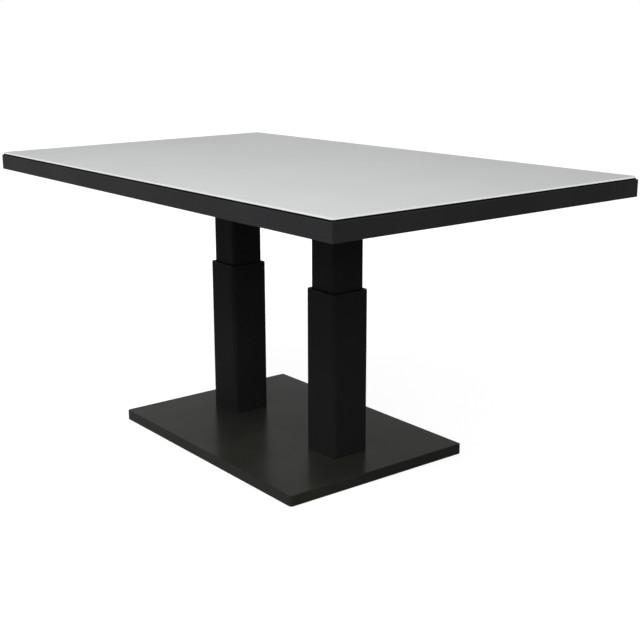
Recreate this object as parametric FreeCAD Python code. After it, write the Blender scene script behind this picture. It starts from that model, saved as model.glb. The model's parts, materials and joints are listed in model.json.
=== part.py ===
import FreeCAD, Part
import math
import os

# Height-adjustable dining table: a framed glass top on two telescopic columns over a flat steel base.
# All sizes are millimetres. X runs along the table, Y across it and Z up.
# The origin is on the floor under the centre. The table stands raised, and its top slides down from there.

# Whole table
table_length = 1500.0
table_width = 900.0
raised_height = 747.0  # floor to the upper face of the glass
lift_travel = 245.0

# Glass and the rubber strips it is bonded on
glass_thickness = 5.0
glass_inset = 4.0  # outer face of the apron to the edge of the glass
glass_corner_radius = 7.0
glass_arris = 1.0
gasket_thickness = 2.5
gasket_width = 18.0
gasket_lip = 2.0  # strip past the edge of the glass

# Apron frame
apron_height = 40.0
apron_depth = 30.0
apron_wall = 3.0
apron_corner_radius = 4.0
apron_edge_radius = 1.5
key_leg = 70.0

# Cross rails under the glass
rail_depth = 40.0
rail_height = 30.0
rail_wall = 2.5
rail_offset = 70.0  # column axis to the axis of a rail beside it
end_rail_inset = 230.0  # end of the table to the axis of the outer rail
pad_radius = 12.0
pad_spread = 280.0  # centre line to the outer pads

# Base
base_length = 776.0
base_width = 556.0
base_height = 30.0
base_sheet = 3.0
base_corner_radius = 8.0
base_edge_radius = 2.0
skirt_gap = 3.0  # floor to the lower edge of the tray
ballast_thickness = 8.0
ballast_gap = 1.5
glide_radius = 20.0
glide_inset = 60.0
glide_chamfer = 2.0
glide_web = 6.0  # glide left above the head of its screw
glide_screw_radius = 3.0
glide_screw_head_radius = 5.5
glide_screw_head_height = 3.0
glide_screw_bite = 6.0
glide_recess_margin = 1.5

# Columns
column_spacing = 434.0
tube_side = 95.0
tube_wall = 2.5
tube_corner_radius = 10.0
guide_gap = 5.5  # tube to the bore of the sleeve
sleeve_wall = 3.0
sleeve_corner_radius = 12.0
bush_flange = 3.0
bush_chamfer = 1.0
landing_gap = 5.0  # column head above the bush when the table is down
slider_lip = 3.0
slider_floor_gap = 9.0  # slider above the foot when the table is down
bush_share = 0.38  # of the length over which tube and sleeve overlap
slider_share = 0.32
foot_thickness = 8.0
foot_bolt_spread = 28.0  # column axis to a bolt, along X and along Y
head_thickness = 5.0
head_margin = 20.0  # bolt axis to the edge of the head
head_corner_radius = 10.0
head_bolt_spread = 60.0  # column axis to a bolt, along Y

# Gas springs
rod_radius = 5.0
rod_stub = 2.0  # rod above its upper nut
cylinder_radius = 14.0
cylinder_wall = 2.0
cylinder_floor = 8.0
gland_length = 20.0
piston_length = 15.0
piston_gap = 6.0  # piston below the gland when the table is up
gas_reserve = 70.0  # cylinder left below the piston when the table is down
rod_nut_flats = 16.0
rod_nut_height = 8.0

# Release pins and the bar that presses them
pin_radius = 1.9
pin_length = 26.0
pin_free = 7.0  # pin above the end of the rod
pin_spare = 3.0
bar_radius = 5.0
bar_end = 4.0  # bar past its outer collar
swing_angle = 12.0
finger_length = 22.0  # bar axis to the nose
finger_width = 14.0
nose_radius = 4.0
finger_play = 0.3
hub_wall = 4.0
bar_bush_wall = 2.0
bar_bush_flange = 2.0
bar_bush_flange_wall = 5.0
collar_wall = 4.0
collar_length = 8.0
arm_length = 95.0
arm_slope = 14.0
bend_radius = 18.0
grip_wall = 5.0
grip_length = 62.0
grip_cap = 4.0
grip_rounding = 4.0
grip_end_gap = 12.0  # grip to the short apron
grip_bend_gap = 3.0

# Bolts of the feet and of the column heads
foot_bolt_radius = 5.0
foot_bolt_flats = 16.0
foot_bolt_head = 6.4
foot_bolt_end_gap = 1.0
foot_washer_radius = 10.0
foot_washer_thickness = 2.0
head_bolt_radius = 4.0
head_bolt_flats = 13.0
head_bolt_head = 5.3
head_washer_radius = 8.0
head_washer_thickness = 1.6
rail_nut_flats = 13.0
rail_nut_height = 6.5
head_bolt_stub = 2.0  # bolt above its nut

# Clearances, on one side
fit_clearance = 0.15  # pieces that are fixed to each other
running_clearance = 0.1  # round pieces that turn or slide
guide_clearance = 0.3  # column guides, and keys in the apron
bolt_clearance = 0.5
collar_clearance = 0.3
overrun = 5.0  # cutters past the faces they cut

# Levels, from the glass downwards
glass_bottom = raised_height - glass_thickness
apron_top = glass_bottom - gasket_thickness
apron_bottom = apron_top - apron_height
rail_bottom = apron_top - rail_height
head_bottom = rail_bottom - head_thickness
sleeve_top = head_bottom - lift_travel - landing_gap - bush_flange

# Levels, from the floor upwards
ballast_top = base_height - base_sheet
ballast_bottom = ballast_top - ballast_thickness
foot_top = base_height + foot_thickness
tube_bottom = foot_top + slider_floor_gap + lift_travel + slider_lip
cylinder_bottom = foot_top + rod_nut_height
piston_bottom = cylinder_bottom + cylinder_floor + gas_reserve + lift_travel
gland_bottom = piston_bottom + piston_length + piston_gap
cylinder_top = gland_bottom + gland_length
rod_top = rail_bottom + rod_nut_height + rod_stub
pin_top = rod_top + pin_free

# Sizes that follow from pieces that fit together
sleeve_bore = tube_side + 2 * guide_gap
sleeve_side = sleeve_bore + 2 * sleeve_wall
sleeve_bore_radius = max(sleeve_corner_radius - sleeve_wall, 0)
tube_bore = tube_side - 2 * tube_wall
tube_bore_radius = max(tube_corner_radius - tube_wall, 0)
guide_overlap = sleeve_top - tube_bottom
cylinder_bore = cylinder_radius - cylinder_wall
pin_bore = pin_radius + running_clearance
pin_travel = 2 * finger_length * math.sin(math.radians(swing_angle / 2))
bar_y = finger_length * math.cos(math.radians(swing_angle / 2))
bar_z = pin_top + finger_play + nose_radius - pin_travel / 2
bar_bush_radius = bar_radius + running_clearance + bar_bush_wall
collar_reach = rail_depth / 2 + bar_bush_flange + collar_clearance
column_places = {"left": -column_spacing / 2, "right": column_spacing / 2}
end_rail_x = table_length / 2 - end_rail_inset
rail_places = [-end_rail_x]
for column_x in column_places.values():
    rail_places += [column_x - rail_offset, column_x + rail_offset]
rail_places.append(end_rail_x)
bar_rail_places = rail_places[:-1]  # the bar stops short of the last rail

along_x = FreeCAD.Vector(1, 0, 0)
along_z = FreeCAD.Vector(0, 0, 1)
origin = FreeCAD.Vector(0, 0, 0)


def point(x, y, z=0):
    return FreeCAD.Vector(x, y, z)


def rounded_edges(points, radii, closed=True):
    # Straight runs between the points, with a tangent arc of the given radius at each one.
    arrivals, middles, leavings = [], [], []
    for index, corner in enumerate(points):
        radius = radii[index]
        open_end = not closed and index in (0, len(points) - 1)
        if open_end or radius == 0:
            arrivals.append(corner)
            middles.append(None)
            leavings.append(corner)
            continue
        back = (points[index - 1] - corner).normalize()
        ahead = (points[(index + 1) % len(points)] - corner).normalize()
        half_turn = back.getAngle(ahead) / 2
        bisector = (back + ahead).normalize()
        reach = radius / math.tan(half_turn)
        arrivals.append(corner + back * reach)
        middles.append(corner + bisector * (radius / math.sin(half_turn) - radius))
        leavings.append(corner + ahead * reach)
    edges = []
    for index in range(len(points)):
        if closed or index > 0:
            edges.append(Part.LineSegment(leavings[index - 1], arrivals[index]).toShape())
        if middles[index] is not None:
            edges.append(Part.Arc(arrivals[index], middles[index], leavings[index]).toShape())
    return edges


def prism(points, radii, along):
    return Part.Face(Part.Wire(rounded_edges(points, radii))).extrude(along)


def slab(length, width, radius, bottom, top):
    # Upright block on a rectangle with rounded corners, centred on the Z axis.
    corners = [
        point(-length / 2, -width / 2, bottom),
        point(length / 2, -width / 2, bottom),
        point(length / 2, width / 2, bottom),
        point(-length / 2, width / 2, bottom),
    ]
    return prism(corners, [radius] * len(corners), along_z * (top - bottom))


def disc(radius, bottom, top, x=0, y=0):
    return Part.makeCylinder(radius, top - bottom, point(x, y, bottom))


def bar_disc(radius, start, end):
    # Round block on the axis of the release bar.
    return Part.makeCylinder(radius, end - start, point(start, bar_y, bar_z), along_x)


def hexagon(flats, bottom, top):
    # Hexagonal block with its corners turned off at both ends.
    reach = flats / math.sqrt(3)
    corners = []
    for index in range(6):
        angle = math.radians(60 * index)
        corners.append(point(reach * math.cos(angle), reach * math.sin(angle), bottom))
    block = prism(corners, [0] * len(corners), along_z * (top - bottom))
    turned = disc(reach, bottom, top)
    rims = [edge for edge in turned.Edges if edge.Closed]
    return block.common(turned.makeChamfer(reach - flats / 2, rims))


def drill(solid, radius, places, bottom, top):
    for x, y in places:
        solid = solid.cut(disc(radius, bottom - overrun, top + overrun, x, y))
    return solid


def corners_about(spread_x, spread_y):
    return [(x, y) for x in (-spread_x, spread_x) for y in (-spread_y, spread_y)]


def hex_bolt(radius, flats, head, washer_radius, washer_thickness, seat, tip):
    # Bolt that points up, with its washer against the seat.
    washer_bottom = seat - washer_thickness
    bolt = disc(radius, washer_bottom, tip)
    bolt = bolt.fuse(disc(washer_radius, washer_bottom, seat))
    return bolt.fuse(hexagon(flats, washer_bottom - head, washer_bottom)).removeSplitter()


def hex_nut(flats, thread_radius, bottom, top):
    return drill(hexagon(flats, bottom, top), thread_radius + fit_clearance, [(0, 0)], bottom, top)


def copies(solid, places):
    return [solid.translated(point(x, y)) for x, y in places]


def on_columns(solid, places):
    pieces = []
    for x in column_places.values():
        pieces += copies(solid, [(x + dx, dy) for dx, dy in places])
    return pieces


def mitred_strip(profile, radii, length):
    # Strip along X behind y = 0, mitred at both ends.
    # The profile gives each corner's inset from the outer face and its level.
    section = [point(-length / 2, inset, level) for inset, level in profile]
    strip = prism(section, radii, along_x * length)
    depth = max(inset for inset, level in profile)
    low = min(level for inset, level in profile) - overrun
    high = max(level for inset, level in profile) + overrun
    plan = [
        point(-length / 2, 0, low),
        point(length / 2, 0, low),
        point(length / 2 - depth, depth, low),
        point(-length / 2 + depth, depth, low),
    ]
    return strip.common(prism(plan, [0] * len(plan), along_z * (high - low)))


def on_side(strip, side):
    # Front is the -Y side, and the others follow anticlockwise from above.
    turns = {"front": 0, "right": 90, "back": 180, "left": 270}
    offset = table_width / 2 if side in ("front", "back") else table_length / 2
    placed = strip.translated(point(0, -offset))
    return placed.rotate(origin, along_z, turns[side])


def side_length(side):
    return table_length if side in ("front", "back") else table_width


def apron_rail(side):
    # Hollow extrusion with rounded edges, mitred at both ends.
    outer = [
        (0, apron_bottom),
        (apron_depth, apron_bottom),
        (apron_depth, apron_top),
        (0, apron_top),
    ]
    rail = mitred_strip(outer, [apron_edge_radius] * len(outer), side_length(side))
    hollow = [
        (apron_wall, apron_bottom + apron_wall),
        (apron_depth - apron_wall, apron_bottom + apron_wall),
        (apron_depth - apron_wall, apron_top - apron_wall),
        (apron_wall, apron_top - apron_wall),
    ]
    rail = rail.cut(mitred_strip(hollow, [0] * len(hollow), side_length(side)))
    outline = slab(table_length, table_width, apron_corner_radius, apron_bottom - overrun, apron_top + overrun)
    return on_side(rail, side).common(outline)


def corner_keys():
    # Angle keys that fill the hollow of the apron across each mitre.
    near = apron_wall + guide_clearance
    far = apron_depth - apron_wall - guide_clearance
    low = apron_bottom + apron_wall + guide_clearance
    high = apron_top - apron_wall - guide_clearance
    keys = []
    for sign_x, sign_y in corners_about(1, 1):
        outline = [(near, near), (near + key_leg, near), (near + key_leg, far)]
        outline += [(far, far), (far, near + key_leg), (near, near + key_leg)]
        corners = []
        for inset_x, inset_y in outline:
            x = sign_x * (table_length / 2 - inset_x)
            y = sign_y * (table_width / 2 - inset_y)
            corners.append(point(x, y, low))
        keys.append(prism(corners, [0] * len(corners), along_z * (high - low)))
    return keys


def gasket_strips():
    # Flat strips between the apron and the glass, mitred at the corners and rounded there like the glass.
    near = glass_inset - gasket_lip
    far = near + gasket_width
    profile = [(near, apron_top), (far, apron_top), (far, glass_bottom), (near, glass_bottom)]
    outline = slab(table_length - 2 * near, table_width - 2 * near, glass_corner_radius + gasket_lip,
                   apron_top - overrun, glass_bottom + overrun)
    strips = []
    for side in ("front", "right", "back", "left"):
        strip = on_side(mitred_strip(profile, [0] * len(profile), side_length(side)), side)
        strips.append(strip.common(outline))
    return strips


def glass_top():
    length = table_length - 2 * glass_inset
    width = table_width - 2 * glass_inset
    glass = slab(length, width, glass_corner_radius, glass_bottom, raised_height)
    rims = [edge for edge in glass.Edges if edge.BoundBox.ZLength < glass_thickness / 2]
    return glass.makeChamfer(glass_arris, rims)


def cross_rail(x):
    # Hollow rail between the long aprons, drilled for the column head's bolts and for the release bar.
    length = table_width - 2 * apron_depth
    rail = slab(rail_depth, length, 0, rail_bottom, apron_top)
    rail = rail.cut(slab(rail_depth - 2 * rail_wall, length + overrun, 0, rail_bottom + rail_wall,
                         apron_top - rail_wall))
    rail.translate(point(x, 0))
    if abs(x) < end_rail_x:
        bolts = [(x, -head_bolt_spread), (x, head_bolt_spread)]
        rail = drill(rail, head_bolt_radius + bolt_clearance, bolts, rail_bottom, rail_bottom + rail_wall)
    if x in bar_rail_places:
        half = rail_depth / 2 + overrun
        rail = rail.cut(bar_disc(bar_bush_radius + fit_clearance, x - half, x + half))
    return rail


def glass_pads():
    pad = disc(pad_radius, apron_top, glass_bottom)
    places = [(x, y) for x in rail_places for y in (-pad_spread, 0, pad_spread)]
    return copies(pad, places)


def base_cover():
    # Tray with its open side down, drilled for the foot bolts.
    cover = slab(base_length, base_width, base_corner_radius, skirt_gap, base_height)
    rims = [edge for edge in cover.Edges if edge.BoundBox.ZMin > base_height - base_sheet]
    cover = cover.makeFillet(base_edge_radius, rims)
    inner_radius = max(base_corner_radius - base_sheet, 0)
    cover = cover.cut(slab(base_length - 2 * base_sheet, base_width - 2 * base_sheet, inner_radius,
                           skirt_gap - overrun, ballast_top))
    return drill(cover, foot_bolt_radius + bolt_clearance, foot_bolt_places(), ballast_top, base_height)


def foot_bolt_places():
    square = corners_about(foot_bolt_spread, foot_bolt_spread)
    return [(x + dx, dy) for x in column_places.values() for dx, dy in square]


def glide_places():
    reach_x = base_length / 2 - glide_inset
    reach_y = base_width / 2 - glide_inset
    return corners_about(reach_x, reach_y) + [(0, -reach_y), (0, reach_y)]


def ballast_plate():
    margin = base_sheet + ballast_gap
    plate = slab(base_length - 2 * margin, base_width - 2 * margin, max(base_corner_radius - margin, 0),
                 ballast_bottom, ballast_top)
    plate = drill(plate, foot_bolt_radius + bolt_clearance, foot_bolt_places(), ballast_bottom, ballast_top)
    return drill(plate, glide_screw_radius + fit_clearance, glide_places(), ballast_bottom, ballast_top)


def glide():
    # Disc under the ballast, with a recess for the head of its screw.
    body = disc(glide_radius, 0, ballast_bottom)
    rim = [edge for edge in body.Edges if edge.BoundBox.ZMax < ballast_bottom / 2]
    body = body.makeChamfer(glide_chamfer, rim)
    recess_top = ballast_bottom - glide_web
    body = body.cut(disc(glide_screw_head_radius + glide_recess_margin, -overrun, recess_top))
    return drill(body, glide_screw_radius + fit_clearance, [(0, 0)], 0, ballast_bottom)


def glide_screw():
    seat = ballast_bottom - glide_web
    screw = disc(glide_screw_head_radius, seat - glide_screw_head_height, seat)
    return screw.fuse(disc(glide_screw_radius, seat, ballast_bottom + glide_screw_bite)).removeSplitter()


def column_sleeve():
    sleeve = slab(sleeve_side, sleeve_side, sleeve_corner_radius, base_height, sleeve_top)
    bottom = base_height - overrun
    top = sleeve_top + overrun
    return sleeve.cut(slab(sleeve_bore, sleeve_bore, sleeve_bore_radius, bottom, top))


def column_foot():
    # Plate in the lower end of the sleeve that takes the foot bolts and the stud of the gas spring.
    side = sleeve_bore - 2 * fit_clearance
    foot = slab(side, side, sleeve_bore_radius, base_height, foot_top)
    foot = drill(foot, rod_radius + fit_clearance, [(0, 0)], base_height, foot_top)
    bolts = corners_about(foot_bolt_spread, foot_bolt_spread)
    return drill(foot, foot_bolt_radius + fit_clearance, bolts, base_height, foot_top)


def guide_bush():
    # Collar in the mouth of the sleeve, with a flange that caps the sleeve.
    side = sleeve_bore - 2 * fit_clearance
    flange = slab(sleeve_side, sleeve_side, sleeve_corner_radius, sleeve_top, sleeve_top + bush_flange)
    rims = [edge for edge in flange.Edges if edge.BoundBox.ZMin > sleeve_top + bush_flange / 2]
    flange = flange.makeChamfer(bush_chamfer, rims)
    bottom = sleeve_top - guide_overlap * bush_share
    bush = flange.fuse(slab(side, side, sleeve_bore_radius, bottom, sleeve_top))
    passage = tube_side + 2 * guide_clearance
    cutter = slab(passage, passage, tube_corner_radius + guide_clearance, bottom - overrun,
                  sleeve_top + bush_flange + overrun)
    return bush.cut(cutter)


def column_tube():
    tube = slab(tube_side, tube_side, tube_corner_radius, tube_bottom, head_bottom)
    bottom = tube_bottom - overrun
    top = head_bottom + overrun
    return tube.cut(slab(tube_bore, tube_bore, tube_bore_radius, bottom, top))


def tube_slider():
    # Collar on the lower end of the tube, with a lip under the tube's wall.
    side = sleeve_bore - 2 * guide_clearance
    bottom = tube_bottom - slider_lip
    top = tube_bottom + guide_overlap * slider_share
    slider = slab(side, side, sleeve_bore_radius, bottom, top)
    seat = tube_side + 2 * fit_clearance
    slider = slider.cut(slab(seat, seat, tube_corner_radius + fit_clearance, tube_bottom, top + overrun))
    return slider.cut(slab(tube_bore, tube_bore, tube_bore_radius, bottom - overrun, top + overrun))


def column_head():
    # Plate on the upper end of the tube, bolted under the two cross rails beside the column.
    length = 2 * (rail_offset + head_margin)
    width = 2 * (head_bolt_spread + head_margin)
    head = slab(length, width, head_corner_radius, head_bottom, rail_bottom)
    head = drill(head, rod_radius + fit_clearance, [(0, 0)], head_bottom, rail_bottom)
    bolts = corners_about(rail_offset, head_bolt_spread)
    return drill(head, head_bolt_radius + bolt_clearance, bolts, head_bottom, rail_bottom)


def gas_cylinder():
    # Closed tube with a stud at its lower end.
    cylinder = disc(cylinder_radius, cylinder_bottom, cylinder_top)
    cylinder = cylinder.cut(disc(cylinder_bore, cylinder_bottom + cylinder_floor, cylinder_top + overrun))
    return cylinder.fuse(disc(rod_radius, base_height, cylinder_bottom)).removeSplitter()


def gas_gland():
    gland = disc(cylinder_bore - fit_clearance, gland_bottom, cylinder_top)
    return drill(gland, rod_radius + running_clearance, [(0, 0)], gland_bottom, cylinder_top)


def gas_piston():
    top = piston_bottom + piston_length
    piston = disc(cylinder_bore - running_clearance, piston_bottom, top)
    return drill(piston, rod_radius + fit_clearance, [(0, 0)], piston_bottom, top)


def gas_rod():
    # Rod with a blind bore in its upper end for the release pin.
    rod = disc(rod_radius, piston_bottom, rod_top)
    bore_bottom = pin_top - pin_length - pin_travel - pin_spare
    return rod.cut(disc(pin_bore, bore_bottom, rod_top + overrun))


def release_pin():
    pin = disc(pin_radius, pin_top - pin_length, pin_top)
    rims = [edge for edge in pin.Edges if edge.BoundBox.ZMin > pin_top - pin_length / 2]
    return pin.makeFillet(pin_radius / 2, [edge for edge in rims if edge.Closed])


def release_finger():
    # Hub on the bar with a finger whose round nose lies just above the pin.
    half = finger_width / 2
    hub_radius = bar_radius + fit_clearance + hub_wall
    finger = bar_disc(hub_radius, -half, half)
    arm = Part.makeBox(finger_width, finger_length, 2 * nose_radius,
                       point(-half, bar_y - finger_length, bar_z - nose_radius))
    nose = bar_disc(nose_radius, -half, half).translated(point(0, -finger_length))
    finger = finger.fuse([arm, nose]).removeSplitter()
    finger = finger.cut(bar_disc(bar_radius + fit_clearance, -half - overrun, half + overrun))
    return finger.rotate(point(0, bar_y, bar_z), along_x, -swing_angle / 2)


def bar_bush(x):
    # Flanged bush through both walls of a cross rail.
    start = x - rail_depth / 2
    end = x + rail_depth / 2 + bar_bush_flange
    bush = bar_disc(bar_bush_radius, start - bar_bush_flange, end)
    bush = bush.fuse(bar_disc(bar_bush_radius + bar_bush_flange_wall, start - bar_bush_flange, start))
    return bush.cut(bar_disc(bar_radius + running_clearance, start - overrun, end + overrun)).removeSplitter()


def bar_collars():
    # Collars on both sides of the last bush.
    starts = [bar_rail_places[-1] - collar_reach - collar_length, bar_rail_places[-1] + collar_reach]
    collars = []
    for start in starts:
        collar = bar_disc(bar_radius + fit_clearance + collar_wall, start, start + collar_length)
        bore = bar_disc(bar_radius + fit_clearance, start - overrun, start + collar_length + overrun)
        collars.append(collar.cut(bore))
    return collars


def grip_end_x():
    return -table_length / 2 + apron_depth + grip_end_gap


def grip_axis():
    drop = math.radians(arm_slope)
    return bar_y + arm_length * math.cos(drop), bar_z - arm_length * math.sin(drop)


def release_bar():
    # Round bar along the table, cranked twice near the short end to make the handle.
    right_end = bar_rail_places[-1] + collar_reach + collar_length + bar_end
    arm_x = grip_end_x() + grip_length + grip_bend_gap + bend_radius
    handle_y, handle_z = grip_axis()
    route = [
        point(right_end, bar_y, bar_z),
        point(arm_x, bar_y, bar_z),
        point(arm_x, handle_y, handle_z),
        point(grip_end_x() + grip_cap, handle_y, handle_z),
    ]
    path = Part.Wire(rounded_edges(route, [0, bend_radius, bend_radius, 0], closed=False))
    section = Part.Wire(Part.makeCircle(bar_radius, route[0], along_x))
    return path.makePipeShell([section], True, False)


def lever_grip():
    handle_y, handle_z = grip_axis()
    start = point(grip_end_x(), handle_y, handle_z)
    grip = Part.makeCylinder(bar_radius + grip_wall, grip_length, start, along_x)
    grip = grip.makeFillet(grip_rounding, [edge for edge in grip.Edges if edge.BoundBox.XLength < grip_cap])
    bore = point(grip_end_x() + grip_cap, handle_y, handle_z)
    return grip.cut(Part.makeCylinder(bar_radius + fit_clearance, grip_length, bore, along_x))


def write(node, shapes):
    solids = [solid for shape in shapes for solid in shape.Solids]
    shape = solids[0] if len(solids) == 1 else Part.makeCompound(solids)
    shape.exportStep(f"parts/{node}.step")
    print(node, len(solids), "valid" if shape.isValid() else "NOT VALID")


os.makedirs("parts", exist_ok=True)

# Base, which stands on the floor
write("base_cover", [base_cover()])
write("ballast_plate", [ballast_plate()])
write("base_glides", copies(glide(), glide_places()))
write("glide_screws", copies(glide_screw(), glide_places()))
foot_bolt = hex_bolt(foot_bolt_radius, foot_bolt_flats, foot_bolt_head, foot_washer_radius,
                     foot_washer_thickness, ballast_bottom, foot_top - foot_bolt_end_gap)
write("foot_bolts", copies(foot_bolt, foot_bolt_places()))
cylinder_nut = hex_nut(rod_nut_flats, rod_radius, foot_top, cylinder_bottom)
write("cylinder_nuts", on_columns(cylinder_nut, [(0, 0)]))

# One of each of these on each column
column_pieces = {
    "column_sleeve": column_sleeve,
    "column_foot": column_foot,
    "guide_bush": guide_bush,
    "gas_cylinder": gas_cylinder,
    "gas_gland": gas_gland,
    "gas_rod": gas_rod,
    "gas_piston": gas_piston,
    "column_tube": column_tube,
    "tube_slider": tube_slider,
    "column_head": column_head,
    "release_pin": release_pin,
    "release_finger": release_finger,
}
for name, make in column_pieces.items():
    for side, column_x in column_places.items():
        write(f"{name}_{side}", copies(make(), [(column_x, 0)]))

# Top, which slides on the columns
rod_nut_below = hex_nut(rod_nut_flats, rod_radius, head_bottom - rod_nut_height, head_bottom)
rod_nut_above = hex_nut(rod_nut_flats, rod_radius, rail_bottom, rail_bottom + rod_nut_height)
write("rod_nuts", on_columns(rod_nut_below, [(0, 0)]) + on_columns(rod_nut_above, [(0, 0)]))
nut_bottom = rail_bottom + rail_wall
nut_top = nut_bottom + rail_nut_height
head_bolt = hex_bolt(head_bolt_radius, head_bolt_flats, head_bolt_head, head_washer_radius,
                     head_washer_thickness, head_bottom, nut_top + head_bolt_stub)
head_bolt_places = corners_about(rail_offset, head_bolt_spread)
write("head_bolts", on_columns(head_bolt, head_bolt_places))
rail_nut = hex_nut(rail_nut_flats, head_bolt_radius, nut_bottom, nut_top)
write("rail_nuts", on_columns(rail_nut, head_bolt_places))
for number, rail_x in enumerate(rail_places, start=1):
    write(f"cross_rail_{number}", [cross_rail(rail_x)])
for side in ("front", "right", "back", "left"):
    write(f"apron_{side}", [apron_rail(side)])
write("apron_corner_keys", corner_keys())
write("glass_gasket", gasket_strips())
write("glass_pads", glass_pads())
write("glass_top", [glass_top()])

# Release bar, which turns in the cross rails
write("bar_bushes", [bar_bush(x) for x in bar_rail_places])
write("bar_collars", bar_collars())
write("release_bar", [release_bar()])
write("lever_grip", [lever_grip()])
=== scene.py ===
import json
import math
import bmesh
import bpy
import numpy as np
from mathutils import Matrix, Vector


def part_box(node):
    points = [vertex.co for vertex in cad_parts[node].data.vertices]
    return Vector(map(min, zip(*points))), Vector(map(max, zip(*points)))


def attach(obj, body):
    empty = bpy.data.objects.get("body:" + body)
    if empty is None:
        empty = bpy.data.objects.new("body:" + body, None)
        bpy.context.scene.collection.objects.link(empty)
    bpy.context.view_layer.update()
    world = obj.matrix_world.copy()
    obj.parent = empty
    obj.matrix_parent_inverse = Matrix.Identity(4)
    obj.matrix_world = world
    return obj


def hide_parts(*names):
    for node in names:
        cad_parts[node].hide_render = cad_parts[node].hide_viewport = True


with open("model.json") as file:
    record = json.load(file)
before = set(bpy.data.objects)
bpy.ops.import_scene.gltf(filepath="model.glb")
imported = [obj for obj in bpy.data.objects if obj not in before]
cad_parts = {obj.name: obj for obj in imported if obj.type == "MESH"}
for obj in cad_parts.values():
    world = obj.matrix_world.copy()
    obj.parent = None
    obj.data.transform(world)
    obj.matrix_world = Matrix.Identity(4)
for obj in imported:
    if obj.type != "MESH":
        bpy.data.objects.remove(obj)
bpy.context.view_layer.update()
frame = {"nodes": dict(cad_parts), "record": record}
cadNodes = frame["nodes"]

cameraLook = {
    "pictureSide": 640,  # pixels of the square photo
    "focalPixels": 1120.6,
    "axisPixel": (274.3, 320.5),  # where the lens axis meets the photo
    "azimuth": 53.95,  # degrees, 0 looks along +Y
    "elevation": 14.73,  # degrees above the floor
    "roll": -0.70,  # degrees
    "target": (-0.0561, 0.0043, 0.3150),  # metres, a point on the lens axis
    "distance": 3.037,  # metres from that point
    "sensor": 36.0,  # millimetres
}


def placeCamera(look):
    # back, right and up are the camera's own axes, turned about back by the roll
    turn, rise, roll = (math.radians(look[key]) for key in ("azimuth", "elevation", "roll"))
    back = Vector((math.sin(turn) * math.cos(rise), -math.cos(turn) * math.cos(rise), math.sin(rise)))
    right = Vector((0, 0, 1)).cross(back).normalized()
    up = back.cross(right)
    axes = (right * math.cos(roll) + up * math.sin(roll), up * math.cos(roll) - right * math.sin(roll), back)
    side = look["pictureSide"]
    lens = bpy.data.cameras.new("photoCamera")
    lens.sensor_width = look["sensor"]
    lens.lens = look["sensor"] * look["focalPixels"] / side
    lens.shift_x = (side / 2 - look["axisPixel"][0]) / side
    lens.shift_y = (look["axisPixel"][1] - side / 2) / side
    camera = bpy.data.objects.new("photoCamera", lens)
    matrix = Matrix(axes).transposed().to_4x4()
    matrix.translation = Vector(look["target"]) + back * look["distance"]
    camera.matrix_world = matrix
    bpy.context.scene.collection.objects.link(camera)
    bpy.context.scene.camera = camera


placeCamera(cameraLook)
print("camera: placed at the photo's viewing angle")


def linearColour(code):  # sRGB hex to linear RGBA
    shares = [int(code[k:k + 2], 16) / 255 for k in (1, 3, 5)]
    return [s / 12.92 if s <= 0.04045 else ((s + 0.055) / 1.055) ** 2.4 for s in shares] + [1.0]


def addNode(tree, kind, inputs=None, **settings):  # one node with its settings, values and links
    node = tree.nodes.new("ShaderNode" + kind)
    for name, value in settings.items():
        setattr(node, name, value)
    sockets = {socket.identifier: socket for socket in node.inputs}
    for name, value in (inputs or {}).items():
        if isinstance(value, bpy.types.NodeSocket):
            tree.links.new(value, sockets[name])
        else:
            sockets[name].default_value = value
    return node


mmPerMetre = 1000  # values with names that end in Mm are millimetres


def noise(tree, place, waveMm, detail):  # a pattern of soft spots, some waveMm wide
    node = addNode(tree, "TexNoise", {"Vector": place, "Scale": mmPerMetre / waveMm, "Detail": detail})
    return node.outputs["Fac"]


def blend(tree, share, first, second):  # the first colour at share 0, the second at share 1
    node = addNode(tree, "Mix", {"Factor_Float": share, "A_Color": first, "B_Color": second}, data_type="RGBA")
    return node.outputs["Result"]


def spread(tree, value, low, high):  # a value from 0 to 1, spread between low and high
    return addNode(tree, "MapRange", {"Value": value, "To Min": low, "To Max": high}).outputs["Result"]


def bump(tree, height, depthMm, **inputs):  # a normal that leans with the height
    node = addNode(tree, "Bump", {"Height": height, "Distance": depthMm / mmPerMetre, **inputs})
    return node.outputs["Normal"]


def newMaterial(name):
    material = bpy.data.materials.new(name)
    material.use_nodes = True
    material.node_tree.nodes.clear()
    return material, material.node_tree


def coverWith(tree, inputs):  # the Principled shader that ends a material
    shader = addNode(tree, "BsdfPrincipled", inputs)
    addNode(tree, "OutputMaterial", {"Surface": shader.outputs["BSDF"]})


studioLook = {
    "roomPaint": "#ffffff",
    "worldLight": 0.27,  # even light from all round
    "floorGlow": 0.87,  # share of the floor's white that shadow can't take away
    "floorPaint": "#9a9a9a",
    "floorReach": 40.0,  # metres from the middle to each side
    "whiteFrom": 1.3, "whiteTo": 2.4,  # metres from the middle, where the floor begins to turn white and is white
    "lamps": {  # places and sizes in metres
        "keyLamp": {"from": (0.45, -1.95, 3.15), "to": (0.1, 0.0, 0.5), "size": (1.6, 1.6), "watts": 80.0},
        "fillLamp": {"from": (2.2, -1.7, 1.8), "to": (0.2, 0.0, 0.5), "size": (1.2, 1.2), "watts": 29.0},
        "lowLamp": {"from": (-1.7, -2.2, 0.5), "to": (-0.3, 0.0, 0.4), "size": (1.0, 0.6), "watts": 4.5},
        "backLamp": {"from": (-2.3, 2.0, 1.5), "to": (-0.2, 0.0, 0.5), "size": (1.2, 1.2), "watts": 20.0},
    },
}


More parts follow.
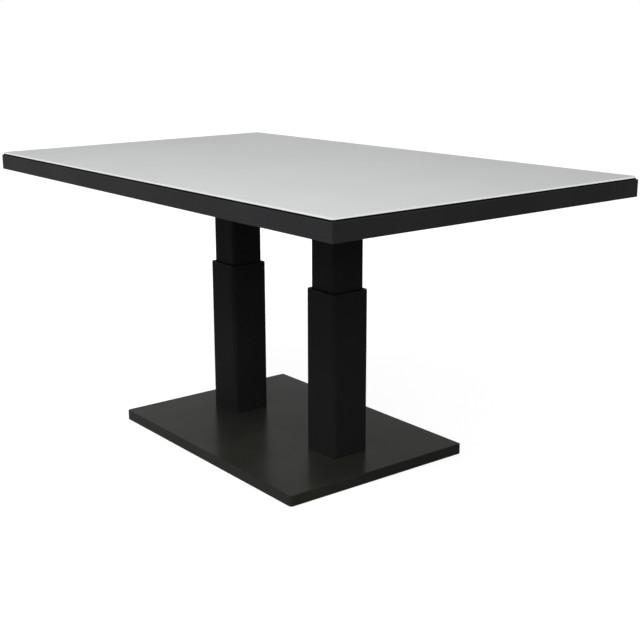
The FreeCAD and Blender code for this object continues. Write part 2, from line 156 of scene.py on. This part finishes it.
def seenWhite(tree):  # 1 for what the eye, gloss and glass see, 0 for light that only shines
    path = addNode(tree, "LightPath").outputs
    gloss = addNode(tree, "Math", {"Value": path["Is Camera Ray"], "Value_001": path["Is Glossy Ray"]},
                    operation="MAXIMUM")
    both = addNode(tree, "Math", {"Value": gloss.outputs[0], "Value_001": path["Is Transmission Ray"]},
                   operation="MAXIMUM")
    return both.outputs[0]


def buildStudio(look):
    world = bpy.data.worlds.new("paleStudio")
    world.use_nodes = True
    tree = world.node_tree
    tree.nodes.clear()
    strength = spread(tree, seenWhite(tree), look["worldLight"], 1.0)
    light = addNode(tree, "Background", {"Color": linearColour(look["roomPaint"]), "Strength": strength})
    addNode(tree, "OutputWorld", {"Surface": light.outputs["Background"]})
    bpy.context.scene.world = world

    reach = look["floorReach"]
    corners = [(-reach, -reach, 0), (reach, -reach, 0), (reach, reach, 0), (-reach, reach, 0)]
    sheet = bpy.data.meshes.new("studioFloor")
    sheet.from_pydata(corners, [], [(0, 1, 2, 3)])
    floor = bpy.data.objects.new("studioFloor", sheet)
    bpy.context.scene.collection.objects.link(floor)
    paint, tree = newMaterial("paleFloor")
    away = addNode(tree, "VectorMath", {"Vector": addNode(tree, "TexCoord").outputs["Object"]}, operation="LENGTH")
    white = addNode(tree, "MapRange", {"Value": away.outputs["Value"], "From Min": look["whiteFrom"],
                                       "From Max": look["whiteTo"], "To Min": look["floorGlow"]},
                    interpolation_type="SMOOTHSTEP")
    glow = addNode(tree, "Math", {"Value": seenWhite(tree), "Value_001": white.outputs["Result"]},
                   operation="MULTIPLY")
    shine = addNode(tree, "Emission", {"Strength": glow.outputs[0]})
    matte = addNode(tree, "BsdfDiffuse", {"Color": linearColour(look["floorPaint"])})
    whole = addNode(tree, "AddShader", {"Shader": shine.outputs[0], "Shader_001": matte.outputs[0]})
    clear = addNode(tree, "BsdfTransparent")  # the floor is open from below, so that the underside can be looked at
    below = addNode(tree, "NewGeometry")
    sided = addNode(tree, "MixShader", {"Fac": below.outputs["Backfacing"], "Shader": whole.outputs[0],
                                        "Shader_001": clear.outputs[0]})
    addNode(tree, "OutputMaterial", {"Surface": sided.outputs[0]})
    sheet.materials.append(paint)

    for name, lamp in look["lamps"].items():
        data = bpy.data.lights.new(name, "AREA")
        data.shape = "RECTANGLE"
        data.size, data.size_y = lamp["size"]
        data.energy = lamp["watts"]
        light = bpy.data.objects.new(name, data)
        light.visible_glossy = False  # gloss mirrors the pale room, not the lamps
        light.location = lamp["from"]
        light.rotation_mode = "QUATERNION"
        light.rotation_quaternion = (Vector(lamp["to"]) - Vector(lamp["from"])).to_track_quat("-Z", "Y")
        bpy.context.scene.collection.objects.link(light)
    bpy.context.scene.view_settings.view_transform = "Standard"


buildStudio(studioLook)
print("studio: pale floor, even world and", len(studioLook["lamps"]), "soft lamps")

clearIor = 1.5  # glass, and the resins of paint and plastic

glassLook = {
    "light": "#bbbcbc", "dark": "#b1b2b2",  # the lacquer's clouds, seen through the face
    "back": "#8f9294",
    "backFrom": -0.5, "backTo": -0.9,  # upward share of the normal, where the back begins and is full
    # painted highlight: the edge's lighter colour stands in for light that the pane carries from its face to its
    # polished edge
    "edge": "#dbdfdd",
    "edgeFrom": 0.95, "edgeTo": 0.6,  # upright share of the normal, where the edge begins and is full
    "edgeMirror": 0.85,  # total reflection inside the pane makes its polished edge part mirror
    "edgeRough": 0.12,
    "faceRough": (0.42, 0.58),  # least and most, over the etched grain
    "cloudMm": 260.0,
    "etchMm": 1.6,  # the etched grain is some 0.05 mm, drawn coarser so that it shows
    "etchDepthMm": 0.02,
    "sheen": 0.12,  # an etched face returns far less of its surroundings than a polished one
}


def etchedGlass(look):
    # toughened float glass, acid etched on top and lacquered grey behind: a soft even sheen with no clear mirror
    # image, faint clouds in the lacquer, and an edge painted lighter than the face: a painted highlight for the light
    # that the pane carries to its polished edge
    material, tree = newMaterial("etchedGlass")
    coords = addNode(tree, "TexCoord").outputs
    cloud = noise(tree, coords["Object"], look["cloudMm"], 4.0)
    etch = noise(tree, coords["Object"], look["etchMm"], 2.0)
    upward = addNode(tree, "SeparateXYZ", {"Vector": coords["Normal"]}).outputs["Z"]
    atBack = addNode(tree, "MapRange", {"Value": upward, "From Min": look["backFrom"], "From Max": look["backTo"]})
    upright = addNode(tree, "Math", {"Value": upward}, operation="ABSOLUTE")
    atEdge = addNode(tree, "MapRange", {"Value": upright.outputs[0], "From Min": look["edgeFrom"],
                                        "From Max": look["edgeTo"]}).outputs["Result"]
    lacquer = blend(tree, cloud, linearColour(look["dark"]), linearColour(look["light"]))
    faces = blend(tree, atBack.outputs["Result"], lacquer, linearColour(look["back"]))
    satin = spread(tree, etch, *look["faceRough"])
    rough = addNode(tree, "Mix", {"Factor_Float": atEdge, "A_Float": satin, "B_Float": look["edgeRough"]})
    coverWith(tree, {
        "Base Color": blend(tree, atEdge, faces, linearColour(look["edge"])),
        "Roughness": rough.outputs["Result"],
        "Metallic": spread(tree, atEdge, 0.0, look["edgeMirror"]),
        "Normal": bump(tree, etch, look["etchDepthMm"]),
        "IOR": clearIor, "Specular IOR Level": look["sheen"],
    })
    return material


coatLook = {
    "dustFrom": 0.45, "dustTo": 0.75,  # shares of the cloud pattern, where dust begins and is full
    "edgeWearAndHighlightFrom": 0.99, "edgeWearAndHighlightTo": 0.8,  # cosine of the softened normal's lean, where the paler edge, part wear and part painted highlight, begins and is full
    "edgeSamples": 6,
    "roughSwing": 0.05,
}


def powderCoat(name, look, coat=coatLook):
    # polyester powder baked on metal: a fine grain over gentle orange peel, even colour with a little settled
    # dust, and a paler edge that is part wear where the film thins and part painted highlight where edges catch the
    # light
    material, tree = newMaterial(name)
    place = addNode(tree, "TexCoord").outputs["Object"]
    grain = noise(tree, place, look["grainMm"], 2.0)
    peel = noise(tree, place, look["peelMm"], 1.0)
    cloud = noise(tree, place, look["cloudMm"], 3.0)
    tone = blend(tree, grain, linearColour(look["dark"]), linearColour(look["light"]))
    film = addNode(tree, "MapRange", {"Value": cloud, "From Min": coat["dustFrom"], "From Max": coat["dustTo"],
                                      "To Max": look["dustShare"]})
    dusty = blend(tree, film.outputs["Result"], tone, linearColour(look["dust"]))
    soft = addNode(tree, "Bevel", {"Radius": look["edgeMm"] / mmPerMetre}, samples=coat["edgeSamples"])
    true = addNode(tree, "NewGeometry")
    lean = addNode(tree, "VectorMath", {"Vector": soft.outputs["Normal"], "Vector_001": true.outputs["True Normal"]},
                   operation="DOT_PRODUCT")
    # paler edges: part wear, part a painted highlight along every edge
    edge = addNode(tree, "MapRange", {"Value": lean.outputs["Value"], "From Min": coat["edgeWearAndHighlightFrom"],
                                      "From Max": coat["edgeWearAndHighlightTo"], "To Max": look["edgeWearAndHighlightShare"]})
    edgeWearAndHighlight = addNode(tree, "Math", {"Value": edge.outputs["Result"], "Value_001": cloud}, operation="MULTIPLY")
    wave = bump(tree, peel, look["peelDepthMm"], Normal=soft.outputs["Normal"])
    coverWith(tree, {
        "Base Color": blend(tree, edgeWearAndHighlight.outputs[0], dusty, linearColour(look["edgeWearAndHighlight"])),
        "Roughness": spread(tree, grain, look["rough"] - coat["roughSwing"], look["rough"] + coat["roughSwing"]),
        "Normal": bump(tree, grain, look["grainDepthMm"], Normal=wave),
        "IOR": clearIor, "Specular IOR Level": look["gloss"],
    })
    return material


apronLook = {
    "dark": "#242425", "light": "#2b2b2d", "dust": "#383839", "dustShare": 0.25, "edgeWearAndHighlight": "#5c5c5f", "edgeWearAndHighlightShare": 0.3,
    "grainMm": 1.4,  # the real grain is some 0.4 mm, drawn coarser so that it shows
    "grainDepthMm": 0.03, "peelMm": 7.0, "peelDepthMm": 0.03, "cloudMm": 220.0, "edgeMm": 0.8,
    "rough": 0.5, "gloss": 0.028,
}
# the slight warm olive cast of these colours, the dust's included, is a painted reflection of the warm surroundings
# that the satin top mirrors
baseLook = {
    "dark": "#252522", "light": "#2b2b28", "dust": "#3b3a33", "dustShare": 0.35, "edgeWearAndHighlight": "#6a6a66", "edgeWearAndHighlightShare": 0.5,
    "grainMm": 2.0,  # smoother satin powder, grain drawn coarser so that it shows
    "grainDepthMm": 0.012, "peelMm": 9.0, "peelDepthMm": 0.03, "cloudMm": 160.0, "edgeMm": 1.0,
    "rough": 0.24, "gloss": 0.02,
}
columnLook = {
    "dark": "#1f1f1f", "light": "#252524", "dust": "#2e2e2d", "dustShare": 0.2, "edgeWearAndHighlight": "#3a3a3a", "edgeWearAndHighlightShare": 0.4,
    "grainMm": 1.4,  # drawn coarser than the real 0.4 mm, as on the apron
    "grainDepthMm": 0.025, "peelMm": 7.0, "peelDepthMm": 0.025, "cloudMm": 180.0, "edgeMm": 0.8,
    "rough": 0.6, "gloss": 0.012,
}
cylinderLook = {
    "dark": "#0d0d0d", "light": "#101010", "dust": "#1c1c1c", "dustShare": 0.15, "edgeWearAndHighlight": "#333333", "edgeWearAndHighlightShare": 0.3,
    "grainMm": 1.5, "grainDepthMm": 0.004, "peelMm": 5.0, "peelDepthMm": 0.012, "cloudMm": 60.0, "edgeMm": 0.5,
    "rough": 0.18, "gloss": 0.5,
}
primerLook = {
    "dark": "#2f2f30", "light": "#3b3b3c", "dust": "#4d4b48", "dustShare": 0.5, "edgeWearAndHighlight": "#6d6a66", "edgeWearAndHighlightShare": 0.6,
    "grainMm": 1.2, "grainDepthMm": 0.03, "peelMm": 14.0, "peelDepthMm": 0.06, "cloudMm": 90.0, "edgeMm": 0.8,
    "rough": 0.7, "gloss": 0.3,
}

rubberLook = {
    "dark": "#0b0b0b", "light": "#131313", "grainMm": 1.2, "grainDepthMm": 0.05, "rough": 0.85, "gloss": 0.02,
}
nylonLook = {
    "dark": "#141414", "light": "#1c1c1c", "grainMm": 1.0, "grainDepthMm": 0.02, "rough": 0.6, "gloss": 0.05,
}
gripLook = {
    "dark": "#161617", "light": "#1e1e1f", "grainMm": 0.8, "grainDepthMm": 0.06, "rough": 0.6, "gloss": 0.4,
}
mouldLook = {"flowGrains": 30, "roughSwing": 0.06}  # flow marks are that many grains wide


def mouldedBlack(name, look, mould=mouldLook):
    # rubber, nylon or a moulded grip: black all through, a fine even texture from the mould and no clear mirror image
    material, tree = newMaterial(name)
    place = addNode(tree, "TexCoord").outputs["Object"]
    grain = noise(tree, place, look["grainMm"], 3.0)
    flow = noise(tree, place, look["grainMm"] * mould["flowGrains"], 2.0)
    coverWith(tree, {
        "Base Color": blend(tree, flow, linearColour(look["dark"]), linearColour(look["light"])),
        "Roughness": spread(tree, flow, look["rough"] - mould["roughSwing"], look["rough"] + mould["roughSwing"]),
        "Normal": bump(tree, grain, look["grainDepthMm"]),
        "IOR": clearIor, "Specular IOR Level": look["gloss"],
    })
    return material


zincLook = {"dark": "#a4a6a8", "light": "#c3c1b8", "spangleMm": 7.0, "lineMm": 0.9, "rough": 0.34}
chromeLook = {"dark": "#cfd1d4", "light": "#dcdee0", "spangleMm": 40.0, "lineMm": 0.7, "rough": 0.1}
millLook = {"dark": "#b4b5b6", "light": "#c6c7c8", "spangleMm": 12.0, "lineMm": 0.6, "rough": 0.42}
metalLook = {"drawnOut": (0.05, 1.0, 1.0), "roughShares": (0.7, 1.3)}  # working lines run long in X


def bareMetal(name, look, metal=metalLook):
    # zinc plate, hard chrome or mill-finish aluminium: a mirror blurred by fine working lines, with a slow shift of
    # tint from bath or die
    material, tree = newMaterial(name)
    place = addNode(tree, "TexCoord").outputs["Object"]
    spangle = noise(tree, place, look["spangleMm"], 3.0)
    along = addNode(tree, "Mapping", {"Vector": place, "Scale": metal["drawnOut"]})
    lines = noise(tree, along.outputs["Vector"], look["lineMm"], 1.0)
    coverWith(tree, {
        "Base Color": blend(tree, spangle, linearColour(look["dark"]), linearColour(look["light"])),
        "Roughness": spread(tree, lines, *(look["rough"] * share for share in metal["roughShares"])),
        "Metallic": 1.0,
    })
    return material


finishes = {
    "satin_glass": etchedGlass(glassLook),
    "gasket_rubber": mouldedBlack("epdmRubber", rubberLook),
    "apron_paint": powderCoat("anthracitePowderCoat", apronLook),
    "bare_aluminium": bareMetal("millAluminium", millLook),
    "base_paint": powderCoat("satinAnthracitePowderCoat", baseLook),
    "column_paint": powderCoat("blackPowderCoat", columnLook),
    "cylinder_paint": powderCoat("glossBlackPaint", cylinderLook),
    "ballast_steel": powderCoat("primedSteel", primerLook),
    "zinc_steel": bareMetal("zincPlatedSteel", zincLook),
    "chrome_rod": bareMetal("hardChrome", chromeLook),
    "black_nylon": mouldedBlack("mouldedNylon", nylonLook),
    "grip_plastic": mouldedBlack("mouldedGrip", gripLook),
}
for part in frame["record"]["subparts"]:
    for holder in cadNodes[part["node"]].material_slots:
        holder.material = finishes[part["material_slot"]]
print("finishes:", len(finishes), "materials on the CAD nodes")

sharpDegrees = 40  # folds over this stay crisp on the new pieces


def newPiece(name, points, faces, body, slot):  # a mesh that rides on a body and wears its slot's finish
    mesh = bpy.data.meshes.new(name)
    mesh.from_pydata(points, [], faces)
    shape = bmesh.new()
    shape.from_mesh(mesh)
    bmesh.ops.recalc_face_normals(shape, faces=shape.faces)
    shape.to_mesh(mesh)
    shape.free()
    mesh.polygons.foreach_set("use_smooth", [True] * len(mesh.polygons))
    mesh.set_sharp_from_angle(angle=math.radians(sharpDegrees))
    mesh.materials.append(finishes[slot])
    piece = bpy.data.objects.new(name, mesh)
    bpy.context.scene.collection.objects.link(piece)
    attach(piece, body)
    return piece


def ringFaces(rows, loop, closed):
    # a quad between each point, the next one in its ring and the same two in the next ring
    row, k = np.arange(rows if closed else rows - 1)[:, None], np.arange(loop)[None, :]
    nextRow, nextK = (row + 1) % rows, (k + 1) % loop
    quads = np.stack([row * loop + k, row * loop + nextK, nextRow * loop + nextK, nextRow * loop + k], 2)
    return [tuple(quad) for quad in quads.reshape(-1, 4).tolist()]


def endCaps(rows, loop):  # one flat face over the first ring and one over the last
    return [tuple(range(loop)), tuple(range((rows - 1) * loop, rows * loop))]


gripShape = {
    "around": 64,  # points in a ring
    "steps": 160,  # rings along the grip
    "ribs": 9, "ribDepth": 0.0008, "ribShares": (0.16, 0.84),  # metres, and where along the grip the ribs run
    "endRound": 0.004,  # metres
    "bore": 0.0051, "boreShare": 0.7,  # metres, and the part of the length that takes the bar
}


def ribbedGrip(shape):
    # turned profile: a plain round bar with quarter-round ends, less a cosine wave over the ribbed stretch
    low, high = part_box("lever_grip")
    radius, length = (high.z - low.z) / 2, high.x - low.x
    axis = ((low.y + high.y) / 2, (low.z + high.z) / 2)
    bend = shape["endRound"]
    along = np.linspace(0, length, shape["steps"])
    nearEnd = np.clip(bend - np.minimum(along, length - along), 0, bend)
    first, last = (share * length for share in shape["ribShares"])
    wave = np.clip((along - first) / (last - first), 0, 1)
    ribs = shape["ribDepth"] * (1 - np.cos(2 * math.pi * shape["ribs"] * wave)) / 2
    outer = radius - bend + np.sqrt(bend ** 2 - nearEnd ** 2) - ribs
    hollow = [(length * shape["boreShare"], shape["bore"]), (0, shape["bore"])]
    rings = np.array(hollow + list(zip(along, outer)))  # bore's floor, its mouth, then along the outside
    angles = np.linspace(0, 2 * math.pi, shape["around"], endpoint=False)
    x = np.repeat(high.x - rings[:, :1], len(angles), 1)
    y = axis[0] + rings[:, 1:] * np.cos(angles)
    z = axis[1] + rings[:, 1:] * np.sin(angles)
    points = np.stack([x, y, z], 2).reshape(-1, 3).tolist()
    faces = ringFaces(len(rings), len(angles), False) + endCaps(len(rings), len(angles))
    grip = newPiece("ribbedLeverGrip", points, faces, "release_lever", "grip_plastic")
    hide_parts("lever_grip")


ribbedGrip(gripShape)
print("grip: ribbed, in place of the plain one")

beadShape = {
    "leg": 0.0030,  # metres, kept under the gap that the lowered top leaves over the columns
    "sink": 0.0002,  # how far the bead's hidden faces reach into the metal
    "ripple": 0.07, "pitch": 0.0035,  # share of the leg, and metres from wave to wave
    "step": 0.0008,  # metres between sections on the straight runs
    "arcSteps": 6, "cornerSteps": 8,  # points on the bead's round and on a corner of the outline
    "tubeCorner": 0.010, "railCorner": 0.001,  # metres, the outlines' corner radii
    "tubeSides": 4, "railSides": 3,  # sides that are welded: all of a tube's, and of a rail's all but the top
}
boxSides = 4  # a bead over all of them closes on itself


def outlinePath(half, corner, sides, shape):
    # round a rectangle side after side, a straight run and then a quarter arc, with each point's outward normal
    places, normals = [], []
    for side in range(sides):
        out = np.array([math.cos(side * math.pi / 2), math.sin(side * math.pi / 2)]).round()
        ahead = np.array([-out[1], out[0]])
        reach, run = half[side % 2], half[1 - side % 2] - corner
        straight = np.arange(-run, run, shape["step"])[:, None]
        places.append(out * reach + ahead * straight)
        normals.append(out + 0 * straight)
        if side < sides - 1 or sides == boxSides:
            turn = np.linspace(0, math.pi / 2, shape["cornerSteps"])[:, None]
            lean = out * np.cos(turn) + ahead * np.sin(turn)
            places.append(out * (reach - corner) + ahead * run + lean * corner)
            normals.append(lean)
    return np.concatenate(places), np.concatenate(normals)


def weldBead(centre, axisA, axisB, inward, half, corner, sides, shape):
    # a quarter-round bead swept along the outline, its leg swelling in a sine wave like laid-down weld metal
    places, normals = outlinePath(half, corner, sides, shape)
    frameAB = np.array([axisA, axisB], float)
    path, out = centre + places @ frameAB, normals @ frameAB
    run = np.concatenate([[0], np.cumsum(np.linalg.norm(np.diff(path, axis=0), axis=1))])
    leg = shape["leg"] * (1 + shape["ripple"] * np.sin(2 * math.pi * run / shape["pitch"]))
    turn = np.linspace(0, math.pi / 2, shape["arcSteps"])
    sunk = np.full(len(leg), -shape["sink"])
    section = [(sunk, sunk), (leg, sunk)] + [(leg * math.cos(t), leg * math.sin(t)) for t in turn] + [(sunk, leg)]
    points = np.stack([path + out * p[:, None] + np.array(inward, float) * q[:, None] for p, q in section], 1)
    rows, loop = points.shape[:2]
    closed = sides == boxSides
    faces = ringFaces(rows, loop, closed) + ([] if closed else endCaps(rows, loop))
    return points.reshape(-1, 3), faces


def joinBeads(name, beads, body, slot):  # several beads as one piece
    points, faces = [], []
    for beadPoints, beadFaces in beads:
        faces += [tuple(index + len(points) for index in face) for face in beadFaces]
        points += beadPoints.tolist()
    newPiece(name, points, faces, body, slot)


def buildWelds(shape):
    headBeads, railBeads = [], []
    for side in ("left", "right"):
        low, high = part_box(f"column_tube_{side}")
        centre = np.array([(low.x + high.x) / 2, (low.y + high.y) / 2, high.z])
        half = ((high.x - low.x) / 2, (high.y - low.y) / 2)
        headBeads.append(weldBead(centre, (1, 0, 0), (0, 1, 0), (0, 0, -1), half, shape["tubeCorner"],
                                  shape["tubeSides"], shape))
    for name in sorted(node for node in cadNodes if node.startswith("cross_rail")):
        low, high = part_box(name)
        half = ((high.x - low.x) / 2, (high.z - low.z) / 2)
        for y, inward in ((low.y, (0, 1, 0)), (high.y, (0, -1, 0))):
            centre = np.array([(low.x + high.x) / 2, y, (low.z + high.z) / 2])
            railBeads.append(weldBead(centre, (1, 0, 0), (0, 0, -1), inward, half, shape["railCorner"],
                                      shape["railSides"], shape))
    joinBeads("headWelds", headBeads, "table_top", "column_paint")
    joinBeads("railWelds", railBeads, "table_top", "apron_paint")


buildWelds(beadShape)
print("welds: beads under the column heads and at the ends of the cross rails")
